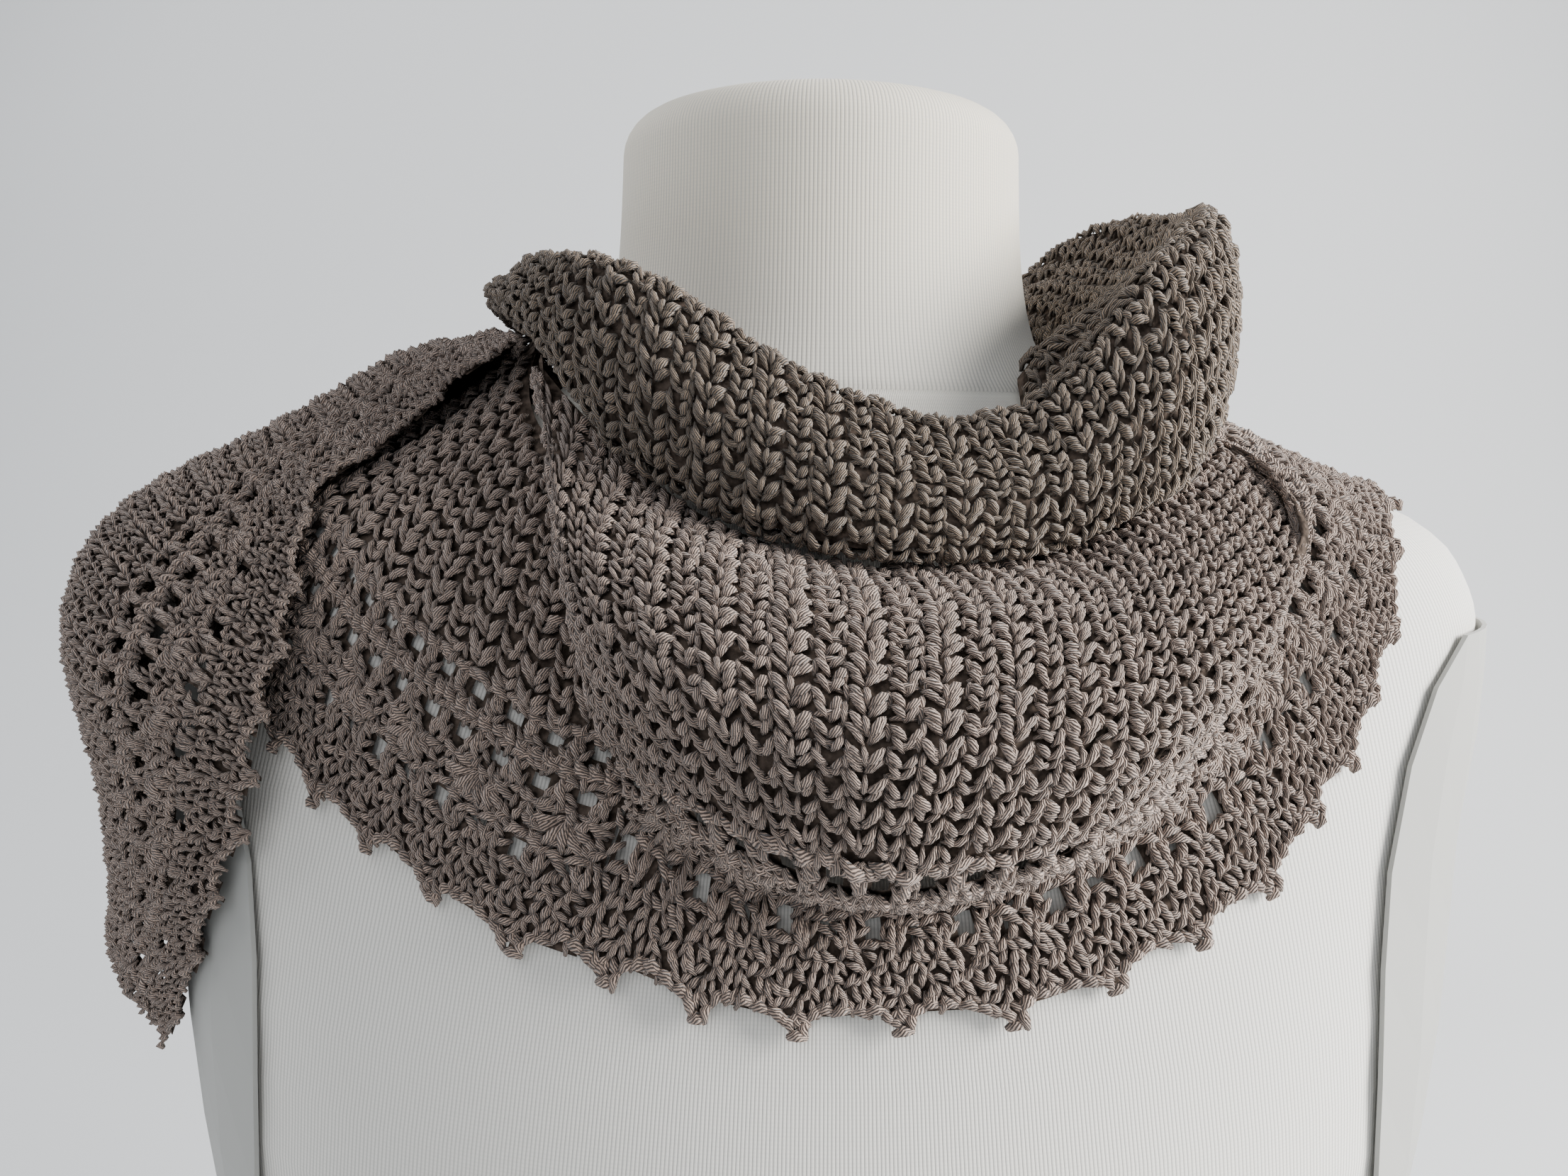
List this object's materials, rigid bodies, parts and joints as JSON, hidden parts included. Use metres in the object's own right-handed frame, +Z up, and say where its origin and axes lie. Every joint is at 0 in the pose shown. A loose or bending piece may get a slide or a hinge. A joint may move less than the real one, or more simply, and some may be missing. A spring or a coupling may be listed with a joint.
{
  "type": "crocheted shawl on limbless dress form",
  "caption": "Crocheted shawl wound twice about the neck of a limbless dress form: collar roll, full front drape, shoulder flap and scalloped lace border, on a flat base.",
  "frame": {"origin": "on the flat base of the dress form, straight below the axis of the neck", "axes": "-Y faces the viewer, +X runs to the viewer's right, +Z is up"},
  "size_m": [0.4237, 0.2651, 0.64],
  "materials": {
    "form_jersey": "fine knitted jersey, matt",
    "plate_jersey": "grey knitted jersey, matt",
    "shawl_yarn": "plied cotton yarn, ribbed crochet",
    "border_yarn": "plied cotton yarn, crocheted lace"
  },
  "bodies": {
    "root": {"dress_form": "form_jersey", "side_plate_left": "plate_jersey", "side_plate_right": "plate_jersey", "roll_front": "shawl_yarn", "roll_back": "shawl_yarn", "front_drape": "shawl_yarn", "right_shoulder": "shawl_yarn", "back_wrap": "shawl_yarn", "left_shoulder": "shawl_yarn", "left_front": "shawl_yarn", "left_flap": "shawl_yarn", "front_lace": "border_yarn", "right_lace": "border_yarn", "back_lace": "border_yarn", "left_lace": "border_yarn", "flap_lace": "border_yarn"}
  },
  "joints": []
}
